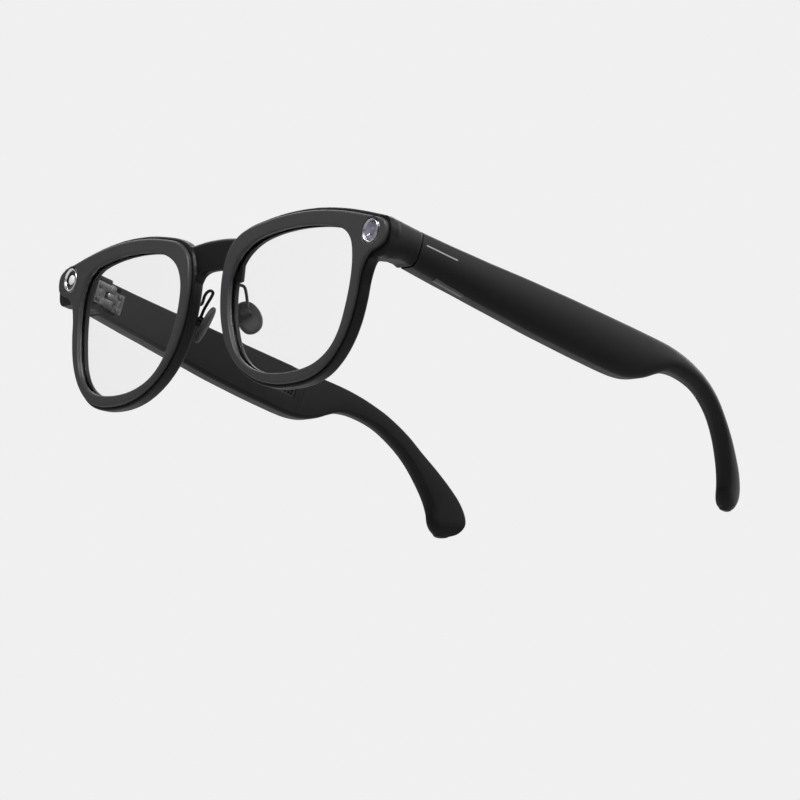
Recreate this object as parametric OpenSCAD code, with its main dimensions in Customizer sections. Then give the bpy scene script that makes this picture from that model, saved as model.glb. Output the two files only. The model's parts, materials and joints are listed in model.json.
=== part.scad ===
// Smart glasses: a front with camera, indicator light and clear lenses, two
// folding temples that carry the electronics, and wire-mounted nose pads.
// Units are mm. The front faces -Y, the temples run to +Y, +X is the wearer's
// left and +Z is up. The glasses stand open on z = 0, on the rims and the tips.

/* [Standing pose] */
// Height of the camera and light centres above the table
lift = 37.674; // [30:0.001:45]
// Distance from the middle of the bounding box to the front face
front_y = -68.777; // [-80:0.001:-50]
// Forward lean of the front, degrees
front_lean = 5.2; // [0:0.1:15]
// Downward slope of the temples toward the tips, degrees
temple_drop = 6.306; // [0:0.001:15]
// Wrap of each half of the front, degrees
wrap = 2.4; // [0:0.1:8]
// How far the middle of the front stands ahead of the line of the temples
nose_ahead = 1; // [0:0.1:3]

/* [Front] */
// Thickness of the satin face plates
plate_t = 1.2; // [0.8:0.1:2]
// Depth of the whole rim, face plate included
rim_depth = 4.8; // [4:0.1:8]
// Step between the edge of a face plate and the edge of the rim
plate_step = 0.9; // [0.4:0.1:2]
// How far the lens reaches behind the face plate
lens_lip = 0.85; // [0.5:0.05:1.5]
// Thickness of a lens
lens_t = 2; // [1.5:0.1:3]
// How far the bridge sits behind the face
bridge_recess = 2.4; // [1:0.1:4]

/* [Camera and indicator light] */
// Distance of the camera and light centres from the middle
eye_x = 68.3; // [60:0.1:70]
// Outer radius of the trim rings
ring_r = 3.45; // [2.5:0.05:4]
// Radius of the glass inside a trim ring
glass_r = 2.5; // [1.5:0.05:3]

/* [Hinges] */
// Distance of a hinge pin from the middle
pin_x = 66.4; // [60:0.1:70]
// Distance of a hinge pin behind the front
pin_y = 14.6; // [10:0.1:20]
// Radius of a hinge pin
pin_r = 0.6; // [0.4:0.05:1]
// Radius of the small leaf screws
screw_r = 0.4; // [0.3:0.05:0.6]
// Outer radius of the hinge knuckles
knuckle_r = 1.55; // [1:0.05:2.5]

/* [Temples] */
// Clearance at the front end of a temple
split_gap = 0.2; // [0.1:0.05:0.4]
// Thickness of the inner cover
cover_t = 0.9; // [0.6:0.1:1.5]

/* [Button] */
// Travel of the function button
button_travel = 0.5; // [0.2:0.1:1]

/* [Nose pads] */
// Thickness of a nose pad
pad_t = 2; // [1:0.1:3]
// Radius of the pad wire
wire_r = 0.45; // [0.3:0.05:0.8]

/* [Part] */

/* [Hidden] */
$fn = 40;
split_y = 14.1 - split_gap;
gap = 0.05;
far = 200;

// Closed smooth curve through a clockwise list of points, n steps per span
function bend(a, b, c, d, t) = 0.5 * (2 * b + (c - a) * t
  + (2 * a - 5 * b + 4 * c - d) * t * t + (3 * b - a - 3 * c + d) * t * t * t);
function closed_curve(p, n) = let (m = len(p)) [for (i = [0 : m - 1]) for (k = [0 : n - 1])
  bend(p[(i + m - 1) % m], p[i], p[(i + 1) % m], p[(i + 2) % m], k / n)];
// Open smooth curve through a list of points
function open_curve(p, n) = let (m = len(p))
  [for (i = [0 : m - 2]) for (k = [0 : n - 1 + (i == m - 2 ? 1 : 0)])
  bend(p[max(i - 1, 0)], p[i], p[i + 1], p[min(i + 2, m - 1)], k / n)];
// Moves each point of a clockwise outline outward by d
function grow(p, d) = let (m = len(p)) [for (i = [0 : m - 1])
  let (t = p[(i + 1) % m] - p[(i + m - 1) % m]) p[i] + d * [-t[1], t[0]] / norm(t)];
function flip(p) = [for (i = [len(p) - 1 : -1 : 0]) p[i]];

// Eye opening seen from the front, for the wearer's left
eye_pts = closed_curve([
  [11.2, -10], [12, -5.4], [14.8, -1.4], [19.8, 1.5], [26.5, 3.1], [34, 3.8], [42, 3.8],
  [50, 3.1], [56.6, 1.6], [60.3, -1.4], [61.8, -6.4], [61.9, -12.4], [60.9, -19],
  [59.1, -25], [55.8, -29.5], [50.4, -32.6], [43.4, -34], [35.6, -34.2],
  [28.6, -33.3], [22.2, -31.1], [17.2, -27.3], [13.9, -22], [11.9, -16.2]], 3);

// Outer edge of the rim and end piece, for the wearer's left
rim_pts = closed_curve([
  [6.8, -10], [7.1, -4], [8.8, 1], [12.2, 4.2], [16.6, 6.1], [23, 7.3], [30, 8.2],
  [38, 8.6], [46, 8.4], [54.5, 7.5], [62, 6.2], [68, 4.9], [72.4, 3.8], [74.8, 2],
  [75.4, -0.8], [74.5, -3.5], [71.9, -5.1], [69, -6.1], [67, -8.2], [65.8, -11.9],
  [65.1, -17], [63.7, -22.6], [61.2, -27.8], [57.6, -32.2], [53, -35.5], [47, -37.4],
  [40, -38], [33, -37.6], [26.2, -36], [19.8, -33], [14.5, -28.9], [10.5, -23.7],
  [7.9, -17.2]], 3);

// Bridge seen from the front
bridge_pts = concat(
  open_curve([[-13, 3.4], [-9, 3.9], [-4.5, 4.3], [0, 4.4], [4.5, 4.3], [9, 3.9], [13, 3.4]], 3),
  [[13, -8]], open_curve([[7.4, -8.6], [6.8, -6.6], [5.6, -5], [3.2, -4.1], [0, -3.9], [-3.2, -4.1],
  [-5.6, -5], [-6.8, -6.6], [-7.4, -8.6]], 3), [[-13, -8]]);

// Side outline of a temple: distance back from the front, height
temple_top = open_curve([
  [14.1, 4.7], [24, 4.9], [36, 5.3], [48, 5.9], [62, 6.4], [76, 6.8], [88, 7.2], [97, 7.5],
  [103, 7.1], [109, 6.1], [114, 4.6], [119, 2.4], [124, -0.9], [130, -5], [136, -9.6],
  [139.4, -13.2], [141, -16.4], [140.5, -19.6], [138.2, -22.1], [135.4, -22.9]], 4);
temple_low = open_curve([
  [135.4, -22.9], [133.2, -21.7], [131.9, -19.2], [130.6, -15.8], [127.2, -11], [122.8, -6.2],
  [117.9, -2.6], [113.6, -0.5], [109, 0.8], [104.4, 1.2], [100.2, 0.9], [96.8, -0.4], [93.4, -2.6],
  [89.8, -4.8], [85.6, -6.3], [80, -6.9], [70, -7], [56, -6.9], [44, -6.4], [30, -5.8], [14.1, -5.1]], 4);
side_pts = concat(temple_top, [for (i = [1 : len(temple_low) - 1]) temple_low[i]]);

// Outer and inner faces of a temple seen from above: distance from the middle, distance back
outer_x = open_curve([[74.5, 14.1], [75.2, 30], [76, 50], [76.5, 68], [76.4, 84], [75.5, 98], [73.4, 112],
  [70.1, 124], [65.6, 135], [61, 145]], 3);
inner_x = open_curve([[56, 145], [60.2, 135], [64.5, 124], [67.8, 112], [69.4, 100], [69.7, 88], [69.6, 76],
  [69.4, 60], [68.8, 44], [68, 28], [67.4, 14.1]], 3);
plan_pts = concat(outer_x, inner_x);

// Frames of reference
module place() translate([0, front_y, lift]) children();
module front(side) place() rotate([front_lean, 0, 0]) translate([0, -nose_ahead, 0])
  if (side > 0) rotate([0, 0, wrap]) children(); else mirror([1, 0, 0]) rotate([0, 0, wrap]) children();
module front_mid() place() rotate([front_lean, 0, 0]) translate([0, -nose_ahead, 0]) children();
module temple(side) place() rotate([-temple_drop, 0, 0])
  if (side > 0) children(); else mirror([1, 0, 0]) children();
// A slab standing in the front, from depth a to depth b
module slab(p, a, b) translate([0, b, 0]) rotate([90, 0, 0]) linear_extrude(b - a) polygon(p);
// A round bar along the depth of the front
module peg(x, z, r, a, b) translate([x, b, z]) rotate([90, 0, 0]) cylinder(r = r, h = b - a);
module box(x0, x1, y0, y1, z0, z1) translate([x0, y0, z0]) cube([x1 - x0, y1 - y0, z1 - z0]);
// A side outline carried from x0 to x1
module side_slab(p, x0, x1) translate([x0, 0, 0]) rotate([90, 0, 90]) linear_extrude(x1 - x0) polygon(p);
// Round bars across the glasses and upright
module bar(x0, x1, y, z, r) translate([x0, y, z]) rotate([0, 90, 0]) cylinder(r = r, h = x1 - x0);
module post(x, y, r, z0, z1) translate([x, y, z0]) cylinder(r = r, h = z1 - z0);

// Main frame: both rims, bridge and the two end pieces in one moulding
end_side = [[2, 4.4], [7, 4.6], [split_y, 4.7], [split_y, -5.1], [11.5, -4.75], [9.2, -4.2], [6.8, -3.5],
  [4, -3.4], [2, -3.9]];

module end_block(side) temple(side) difference() {
  side_slab(end_side, 65, 74.6);
  // pocket for the hinge leaf, open to the inside and the rear
  box(64, 66.7, 9.4, split_y + 1, -3.2, 3.2);
  post(pin_x, pin_y, knuckle_r + 0.3, -3.8, 3.8);
  for (z = [-1.9, 1.9]) bar(66, 67.7, 10.8, z, screw_r);
}

module half_frame(side) front(side) slab(rim_pts, plate_t, rim_depth);

module half_cuts(side, bore) front(side) {
  slab(grow(eye_pts, lens_lip + gap), 0, plate_t + lens_t + 0.1);
  slab(eye_pts, 0, rim_depth + 2);
  peg(eye_x, 0, ring_r + gap, 0, 2);
  peg(eye_x, 0, 2.95, 0, bore);
  // hole for the pad wire
  peg(arm_path[0][0], arm_path[0][2], wire_r + 0.02, arm_path[0][1], rim_depth + 1);
}

module main_frame() color([0.05, 0.05, 0.055]) difference() {
  union() {
    half_frame(1);
    half_frame(-1);
    end_block(1);
    end_block(-1);
    front_mid() slab(bridge_pts, bridge_recess, rim_depth + 0.5);
  }
  half_cuts(1, 7.05);
  half_cuts(-1, 4.05);
  // room for the face plates in front of the end pieces
  for (side = [1, -1]) front(side) box(60, 80, -3, plate_t, -9, 9);
}

// Satin face plates
module face_plate(side) front(side) difference() {
  slab(grow(rim_pts, -plate_step), 0, plate_t);
  slab(eye_pts, -1, plate_t + 1);
  peg(eye_x, 0, ring_r + gap, -1, plate_t + 1);
}
module left_face_plate() color([0.13, 0.13, 0.14]) face_plate(1);
module right_face_plate() color([0.13, 0.13, 0.14]) face_plate(-1);

// Clear lenses, set in the frame behind the face plates
module lens(side) front(side) slab(grow(eye_pts, lens_lip), plate_t + gap, plate_t + lens_t + gap);
module left_lens() color([0.85, 0.9, 0.95, 0.3]) lens(1);
module right_lens() color([0.85, 0.9, 0.95, 0.3]) lens(-1);

// Camera in the wearer's left end piece
module trim_ring(side) front(side) difference() {
  peg(eye_x, 0, ring_r, -0.15, 1.95);
  peg(eye_x, 0, glass_r + 0.02, -1, 3);
}
module camera_ring() color([0.2, 0.2, 0.22]) trim_ring(1);
module camera_glass() color([0.1, 0.1, 0.14]) front(1) peg(eye_x, 0, glass_r, 0.15, 0.95);
module camera_barrel() color([0.06, 0.06, 0.07]) front(1) difference() {
  union() {
    peg(eye_x, 0, 2.3, 1.1, 2.4);
    peg(eye_x, 0, 2.9, 2.4, 6.4);
  }
  translate([eye_x, 1, 0]) rotate([-90, 0, 0]) cylinder(r = 1.1, h = 1.6);
}
module camera_board() color([0.05, 0.25, 0.12]) front(1) peg(eye_x, 0, 2.9, 6.45, 7);

// Indicator light in the wearer's right end piece
module light_ring() color([0.8, 0.8, 0.8]) trim_ring(-1);
module light_lens() color([0.92, 0.92, 0.9]) front(-1) peg(eye_x, 0, glass_r, 0.1, 2.4);
module light_board() color([0.05, 0.25, 0.12]) front(-1) peg(eye_x, 0, 2.9, 2.5, 4);

// Wire arms of the nose pads, each with the small box that holds the pad
arm_path = [[8.4, 3.4, -11.6], [8.4, 5.4, -11.6], [8, 5.9, -9.2], [7.6, 6.6, -8], [7.7, 7.7, -7.7],
  [8.3, 8.4, -8.5], [10.5, 7.8, -12], [11.4, 7.4, -14.6]];
pad_at = [11.4, 7.3, -15.5];
pad_turn = 41;
pad_splay = 39;
module rod(a, b, r) translate(a) let (d = b - a) rotate([0, acos(d[2] / norm(d)), atan2(d[1], d[0])])
  cylinder(r = r, h = norm(d));
module pad_place(side) front(side) translate(pad_at) rotate([0, -pad_splay, 0]) rotate([0, 0, pad_turn])
  children();

module pad_arm(side) {
  front(side) difference() {
    union() {
      for (i = [0 : len(arm_path) - 2]) rod(arm_path[i], arm_path[i + 1], wire_r);
      for (i = [1 : len(arm_path) - 2]) translate(arm_path[i]) sphere(r = wire_r + 0.05);
    }
    translate(pad_at) rotate([0, -pad_splay, 0]) rotate([0, 0, pad_turn]) box(-1, 1, -0.75, 2, -1, 1);
  }
  pad_place(side) difference() {
    box(-1.1, 1.1, -0.85, 0.45, -1.1, 1.1);
    box(-0.55, 0.55, -0.35, 1, -1.2, 1.2);
    bar(-2, 2, 0, 0, 0.3);
  }
}
module left_pad_arm() color([0.35, 0.35, 0.37]) pad_arm(1);
module right_pad_arm() color([0.35, 0.35, 0.37]) pad_arm(-1);

module pad_pin(side) pad_place(side) bar(-1.25, 1.25, 0, 0, 0.3);
module left_pad_pin() color([0.6, 0.6, 0.62]) pad_pin(1);
module right_pad_pin() color([0.6, 0.6, 0.62]) pad_pin(-1);

// Metal core of a pad: a lug in the box and a plate inside the soft pad
module pad_core(side) pad_place(side) difference() {
  union() {
    box(-0.4, 0.4, -0.25, 1.2, -0.75, 0.75);
    box(-1.4, 1.4, 1.2, 1.6, -2.6, 2.6);
  }
  bar(-2, 2, 0, 0, 0.34);
}
module left_pad_core() color([0.6, 0.6, 0.62]) pad_core(1);
module right_pad_core() color([0.6, 0.6, 0.62]) pad_core(-1);

// Soft nose pads
pad_pts = closed_curve([[-3.3, 0.7], [-2.7, 3.8], [-0.4, 5.4], [2, 4.4], [3.3, 1.4], [3.4, -2], [2.2, -4.7],
  [-0.2, -5.7], [-2.4, -4.2]], 4);
module nose_pad(side) pad_place(side) difference() {
  slab(pad_pts, 0.7, 0.7 + pad_t);
  box(-0.42, 0.42, 0, 1.3, -0.77, 0.77);
  box(-1.42, 1.42, 1.19, 1.61, -2.62, 2.62);
}
module left_nose_pad() color([0.1, 0.1, 0.11]) nose_pad(1);
module right_nose_pad() color([0.1, 0.1, 0.11]) nose_pad(-1);

// Hinges: a leaf in the end piece, a leaf in the temple and a pin
module front_leaf(side) temple(side) difference() {
  union() {
    box(65.05, 66.6, 9.45, pin_y, -3.1, 3.1);
    post(pin_x, pin_y, knuckle_r, -3.1, 3.1);
  }
  box(60, 70, 12.5, 20, -1, 1);
  post(pin_x, pin_y, pin_r + 0.01, -4, 4);
  for (z = [-1.9, 1.9]) bar(60, 70, 10.8, z, screw_r + 0.01);
}
module left_front_leaf() color([0.66, 0.67, 0.7]) front_leaf(1);
module right_front_leaf() color([0.66, 0.67, 0.7]) front_leaf(-1);

module temple_leaf(side) temple(side) difference() {
  union() {
    post(pin_x, pin_y, knuckle_r, -0.9, 0.9);
    box(pin_x, 68.2, pin_y, 17.4, -0.9, 0.9);
    box(67.55, 68.6, 17, 20.2, -2.8, 2.8);
  }
  post(pin_x, pin_y, pin_r + 0.05, -4, 4);
  for (z = [-1.9, 1.9]) bar(60, 70, 19, z, screw_r + 0.01);
}
module left_temple_leaf() color([0.66, 0.67, 0.7]) temple_leaf(1);
module right_temple_leaf() color([0.66, 0.67, 0.7]) temple_leaf(-1);

module hinge_pin(side) temple(side) difference() {
  union() {
    post(pin_x, pin_y, pin_r, -3.1, 3.2);
    post(pin_x, pin_y, 1.1, 3.1, 3.55);
  }
  box(pin_x - 2, pin_x + 2, pin_y - 0.15, pin_y + 0.15, 3.35, 4);
}
module left_hinge_pin() color([0.75, 0.75, 0.78]) hinge_pin(1);
module right_hinge_pin() color([0.75, 0.75, 0.78]) hinge_pin(-1);

// Pan-head screws of a leaf: face of the leaf, length, distance back
module leaf_screws(side, x, len, y) temple(side) for (z = [-1.9, 1.9]) difference() {
  union() {
    bar(x, x + len, y, z, screw_r);
    bar(x - 0.25, x, y, z, 0.75);
  }
  box(x - 1, x - 0.12, y - 0.1, y + 0.1, z - 1, z + 1);
}
module left_leaf_screws() color([0.75, 0.75, 0.78]) leaf_screws(1, 65.05, 2.6, 10.8);
module right_leaf_screws() color([0.75, 0.75, 0.78]) leaf_screws(-1, 65.05, 2.6, 10.8);
module left_temple_screws() color([0.75, 0.75, 0.78]) leaf_screws(1, 67.55, 2.2, 19);
module right_temple_screws() color([0.75, 0.75, 0.78]) leaf_screws(-1, 67.55, 2.2, 19);

// Temples: an outer shell with a cavity closed by an inner cover
inner_line = [[14.1, 67.4], [28, 68], [44, 68.8], [60, 69.4], [76, 69.6], [88, 69.7]];
function skin(d) = [for (y = [20.4, 28, 36, 44, 52, 60, 68, 76, 84.8]) [lookup(y, inner_line) + d, y]];
cavity_side = [[33, 3.8], [83.5, 5.7], [83.5, -5.2], [79, -5.7], [56, -5.8], [33, -4.9]];
cavity_plan = [[60, 33], [73.9, 33], [74.7, 50], [75.2, 68], [75.1, 83.5], [60, 83.5]];
cover_side = [[20.4, 4], [50, 5], [84.6, 6.3], [84.6, -5.4], [80, -6.2], [56, -6.3], [33, -5.5],
  [20.4, -4.9]];

module temple_solid() intersection() {
  side_slab(side_pts, 55, 80);
  translate([0, 0, -30]) linear_extrude(50) polygon(plan_pts);
}
module cover_solid(p) intersection() {
  temple_solid();
  side_slab(p, 60, 75);
  translate([0, 0, -30]) linear_extrude(50) polygon(concat([[60, 10], [60, 90]], flip(skin(cover_t))));
}

module temple_shell(side) temple(side) difference() {
  temple_solid();
  // hinge relief
  post(pin_x, pin_y, knuckle_r + 0.35, -3.7, 4.2);
  box(60, 69.2, 13, 18.5, -3.7, 4.2);
  box(60, 68.65, 18, 20.25, -2.85, 2.85);
  for (z = [-1.9, 1.9]) bar(68, 69.75, 19, z, screw_r);
  // seat of the inner cover
  intersection() {
    side_slab(cover_side, 60, 75);
    translate([0, 0, -30]) linear_extrude(50)
      polygon(concat([[60, 20.35], [60, 84.85]], flip(skin(cover_t + gap))));
  }
  // cavity
  intersection() {
    side_slab(cavity_side, 60, 80);
    translate([0, 0, -30]) linear_extrude(50) polygon(cavity_plan);
  }
  box(60, 71.2, 21.2, 34, -4.5, 3.4);
  // microphone port
  bar(73, 78, 37.5, 0, 0.4);
  if (side > 0) {
    light_groove(0.02);
    box(71, 73.8, 20.6, 31.9, -4.7, -2.2);
    box(71.5, 73.5, 21.2, 31.3, -8, -4.6);
  }
}
module left_temple_shell() color([0.05, 0.05, 0.055]) temple_shell(1);
module right_temple_shell() color([0.05, 0.05, 0.055]) temple_shell(-1);

module temple_cover(side) temple(side) difference() {
  cover_solid([for (p = cover_side) p * 0.9995 + [0.01, 0]]);
  // speaker opening
  box(60, 80, 73, 82, -1.8, 1.8);
  if (side > 0) {
    // flat recess with the charging contacts
    box(60, 68.3, 22.6, 31.4, -1.2, 3.2);
    for (y = [24.5, 27, 29.5]) bar(60, 80, y, 1, 0.82);
  }
}
module left_temple_cover() color([0.06, 0.06, 0.065]) temple_cover(1);
module right_temple_cover() color([0.06, 0.06, 0.065]) temple_cover(-1);

module battery(side) temple(side) box(70.75, 74.5, 50, 70, -5.2, 4);
module left_battery() color([0.3, 0.32, 0.36]) battery(1);
module right_battery() color([0.3, 0.32, 0.36]) battery(-1);

module circuit_board(side) temple(side) {
  box(70.1, 70.9, 34.5, 48.5, -4.4, 3.4);
  box(70.9, 72.1, 40.5, 47, -3.4, 2.4);
  box(70.9, 71.8, 35.5, 39, -3, 1.5);
}
module left_board() color([0.04, 0.22, 0.1]) circuit_board(1);
module right_board() color([0.04, 0.22, 0.1]) circuit_board(-1);

module microphone(side) temple(side) difference() {
  box(72.8, 73.95, 36, 39, -1.5, 1.5);
  bar(73.5, 75, 37.5, 0, 0.3);
}
module left_microphone() color([0.75, 0.72, 0.6]) microphone(1);
module right_microphone() color([0.75, 0.72, 0.6]) microphone(-1);

module speaker(side) temple(side) {
  box(71.6, 74.6, 71.5, 83, -4.4, 4);
  box(70.75, 71.6, 72.5, 82, -3.2, 2.8);
}
module left_speaker() color([0.08, 0.08, 0.09]) speaker(1);
module right_speaker() color([0.08, 0.08, 0.09]) speaker(-1);

module speaker_grille(side) temple(side) difference() {
  box(69.85, 70.35, 73.02, 81.98, -1.78, 1.78);
  for (y = [74.2 : 1.1 : 81], z = [-0.9, 0, 0.9]) bar(69, 72, y, z, 0.3);
}
module left_speaker_grille() color([0.25, 0.25, 0.27]) speaker_grille(1);
module right_speaker_grille() color([0.25, 0.25, 0.27]) speaker_grille(-1);

// Details of the wearer's left temple
module light_groove(c) intersection() {
  box(73.9, 80, 15.4 - c, 25.4 + c, 1.05 - c, 1.6 + c);
  translate([0, 0, -5]) linear_extrude(10) polygon([[74.05 - c, 15], [80, 15], [80, 26], [74.5 - c, 26]]);
}
module light_line() color([0.75, 0.76, 0.78]) temple(1) intersection() {
  temple_solid();
  light_groove(0);
}
module touch_sensor() color([0.6, 0.4, 0.15]) temple(1) box(73.9, 74.05, 40.5, 49, -3.2, 3);

module function_button() color([0.2, 0.2, 0.21]) temple(1) {
  side_slab([[21.3, -4.65], [31.2, -4.65], [31.2, -6.2], [21.3, -5.75]], 71.6, 73.4);
  box(71.2, 73.7, 20.8, 31.7, -4.66, -4.26);
}
module button_switch() color([0.7, 0.7, 0.7]) temple(1) box(71.7, 73.3, 24.6, 28, -3.7, -2.2);

module charging_contacts() color([0.85, 0.68, 0.3]) temple(1) {
  for (y = [24.5, 27, 29.5]) bar(68.3, 69.7, y, 1, 0.78);
  box(69.6, 70.6, 23.4, 30.6, -0.4, 2.4);
}
module charging_magnets() color([0.7, 0.7, 0.72]) temple(1)
  for (y = [25.2, 28.8]) bar(69.2, 71, y, -2.6, 1.4);

main_frame();
left_face_plate();
right_face_plate();
left_lens();
right_lens();
camera_ring();
camera_glass();
camera_barrel();
camera_board();
light_ring();
light_lens();
light_board();
left_pad_arm();
right_pad_arm();
left_pad_pin();
right_pad_pin();
left_pad_core();
right_pad_core();
left_nose_pad();
right_nose_pad();
left_front_leaf();
right_front_leaf();
left_leaf_screws();
right_leaf_screws();
left_hinge_pin();
right_hinge_pin();
left_temple_shell();
left_temple_cover();
left_temple_leaf();
left_temple_screws();
left_battery();
left_board();
left_microphone();
left_speaker();
left_speaker_grille();
light_line();
touch_sensor();
button_switch();
function_button();
charging_contacts();
charging_magnets();
right_temple_shell();
right_temple_cover();
right_temple_leaf();
right_temple_screws();
right_battery();
right_board();
right_microphone();
right_speaker();
right_speaker_grille();
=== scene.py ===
"""Looks of the smart glasses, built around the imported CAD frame. The outlines below are in millimetres
and repeat those of part.scad; middle_m, front_m, temple_m and pad_m give the matrices that carry them to
metres in the frame's own coordinates. Side 1 is the wearer's left and side -1 the wearer's right."""

import json
import math

import bmesh
import bpy
import numpy as np
from mathutils import Matrix, Vector


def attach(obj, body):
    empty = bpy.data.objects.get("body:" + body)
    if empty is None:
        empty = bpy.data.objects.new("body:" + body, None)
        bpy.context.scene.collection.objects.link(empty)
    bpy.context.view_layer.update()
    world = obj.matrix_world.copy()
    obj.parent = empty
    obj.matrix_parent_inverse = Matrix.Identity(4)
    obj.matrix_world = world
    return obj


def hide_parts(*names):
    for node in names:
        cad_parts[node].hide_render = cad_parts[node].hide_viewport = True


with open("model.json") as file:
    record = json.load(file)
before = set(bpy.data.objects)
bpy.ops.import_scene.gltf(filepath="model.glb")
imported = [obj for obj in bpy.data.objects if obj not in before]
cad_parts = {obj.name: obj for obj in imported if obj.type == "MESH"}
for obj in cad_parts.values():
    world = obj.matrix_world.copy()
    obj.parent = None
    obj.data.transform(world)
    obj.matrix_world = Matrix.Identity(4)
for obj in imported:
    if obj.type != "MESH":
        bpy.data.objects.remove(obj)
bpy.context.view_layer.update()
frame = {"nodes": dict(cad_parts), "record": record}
scene = bpy.context.scene

# ---------------------------------------------------------------- places shared with part.scad
MM = 0.001
MICRON = 1e-6
# Height and place along y of the front's own origin
LIFT, FRONT_Y = 37.674, -68.777
# Forward lean of the front and fall of the temples, degrees
LEAN, DROP = 5.2, 6.306
# Turn of each half of the front, degrees, and how far its middle stands ahead
WRAP, AHEAD = 2.4, 1.0
# Round windows: distance from the middle, radius of the ring and of the glass
EYE_X, RING_R, GLASS_R = 68.3, 3.45, 2.5
# Hinge pin
PIN_X, PIN_Y = 66.4, 14.6


def rad(a):
    return math.radians(a)


PLACE = Matrix.Translation((0, FRONT_Y, LIFT))
FLIP = Matrix.Diagonal((-1, 1, 1, 1))


def middle_m():
    """Places the middle of the front: (across, depth, height) in mm to metres in the frame."""
    lean = Matrix.Rotation(rad(LEAN), 4, "X")
    return Matrix.Scale(MM, 4) @ PLACE @ lean @ Matrix.Translation((0, -AHEAD, 0))


def front_m(side):
    """Places one half of the front: (outward, depth, height) in mm to metres in the frame."""
    m = Matrix.Rotation(rad(WRAP), 4, "Z")
    if side < 0:
        m = FLIP @ m
    return middle_m() @ m


def temple_m(side):
    """Places one temple: (outward, distance back, height) in mm to metres in the frame."""
    m = Matrix.Identity(4) if side > 0 else FLIP
    return Matrix.Scale(MM, 4) @ PLACE @ Matrix.Rotation(rad(-DROP), 4, "X") @ m


def bend(a, b, c, d, t):
    """Point at share t of the stretch from b to c, on a smooth curve through a, b, c and d."""
    return 0.5 * (2 * b + (c - a) * t + (2 * a - 5 * b + 4 * c - d) * t * t
                  + (3 * b - a - 3 * c + d) * t ** 3)


def closed_curve(p, n):
    """A smooth closed outline through the points p, with n steps from each to the next."""
    p = np.array(p, float)
    m = len(p)
    return np.array([bend(p[(i - 1) % m], p[i], p[(i + 1) % m], p[(i + 2) % m], k / n)
                     for i in range(m) for k in range(n)])


def open_curve(p, n):
    """A smooth line through the points p, with n steps from each to the next."""
    p = np.array(p, float)
    m = len(p)
    return np.array([bend(p[max(i - 1, 0)], p[i], p[i + 1], p[min(i + 2, m - 1)], k / n)
                     for i in range(m - 1) for k in range(n + (i == m - 2))])


def grow(p, d):
    """Moves a clockwise outline outward by d."""
    t = np.roll(p, -1, 0) - np.roll(p, 1, 0)
    t /= np.linalg.norm(t, axis=1)[:, None]
    return p + d * np.stack([-t[:, 1], t[:, 0]], 1)


EYE = closed_curve([
    (11.2, -10), (12, -5.4), (14.8, -1.4), (19.8, 1.5), (26.5, 3.1), (34, 3.8), (42, 3.8),
    (50, 3.1), (56.6, 1.6), (60.3, -1.4), (61.8, -6.4), (61.9, -12.4), (60.9, -19),
    (59.1, -25), (55.8, -29.5), (50.4, -32.6), (43.4, -34), (35.6, -34.2),
    (28.6, -33.3), (22.2, -31.1), (17.2, -27.3), (13.9, -22), (11.9, -16.2)], 8)
RIM = closed_curve([
    (6.8, -10), (7.1, -4), (8.8, 1), (12.2, 4.2), (16.6, 6.1), (23, 7.3), (30, 8.2),
    (38, 8.6), (46, 8.4), (54.5, 7.5), (62, 6.2), (68, 4.9), (72.4, 3.8), (74.8, 2),
    (75.4, -0.8), (74.5, -3.5), (71.9, -5.1), (69, -6.1), (67, -8.2), (65.8, -11.9),
    (65.1, -17), (63.7, -22.6), (61.2, -27.8), (57.6, -32.2), (53, -35.5), (47, -37.4),
    (40, -38), (33, -37.6), (26.2, -36), (19.8, -33), (14.5, -28.9), (10.5, -23.7),
    (7.9, -17.2)], 8)
BRIDGE = np.concatenate([
    open_curve([(-13, 3.4), (-9, 3.9), (-4.5, 4.3), (0, 4.4), (4.5, 4.3), (9, 3.9), (13, 3.4)], 6),
    [(13, -8)],
    open_curve([(7.4, -8.6), (6.8, -6.6), (5.6, -5), (3.2, -4.1), (0, -3.9), (-3.2, -4.1),
                (-5.6, -5), (-6.8, -6.6), (-7.4, -8.6)], 6),
    [(-13, -8)]])
# Matched points of the top and the lower edge of a temple (distance back, height)
TOP_LOW = [
    ((14.1, 4.7), (14.1, -5.1)), ((19, 4.8), (19, -5.35)), ((24, 4.9), (24, -5.6)),
    ((30, 5.1), (30, -5.8)), ((36, 5.3), (36, -6.1)), ((42, 5.6), (42, -6.35)),
    ((48, 5.9), (48, -6.6)), ((55, 6.15), (54, -6.85)), ((62, 6.4), (61, -6.95)),
    ((69, 6.6), (68, -7)), ((76, 6.8), (74.5, -6.95)), ((82, 7), (80, -6.85)),
    ((88, 7.2), (84.2, -6.5)), ((92.4, 7.35), (88, -5.55)), ((96, 7.45), (91.6, -3.8)),
    ((99.2, 7.4), (94.8, -1.6)), ((102, 7.2), (97.8, 0.15)), ((105, 6.85), (101, 1)),
    ((108.4, 6.2), (104.4, 1.2)), ((112, 5.3), (108, 0.95)), ((116, 3.75), (111.6, 0.2)),
    ((120.4, 1.5), (115.4, -1.35)), ((125, -1.6), (119.4, -3.6)), ((130, -5), (123.4, -6.9)),
    ((134.4, -8.4), (127, -10.8)), ((137.8, -11.5), (129.6, -14.2)), ((140.1, -14.6), (131.3, -17.2)),
    ((141, -17), (132, -19.1)), ((140.8, -18.9), (132.7, -20.6)), ((139.9, -20.6), (133.6, -21.7)),
    ((138.4, -21.8), (134.8, -22.4))]
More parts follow.
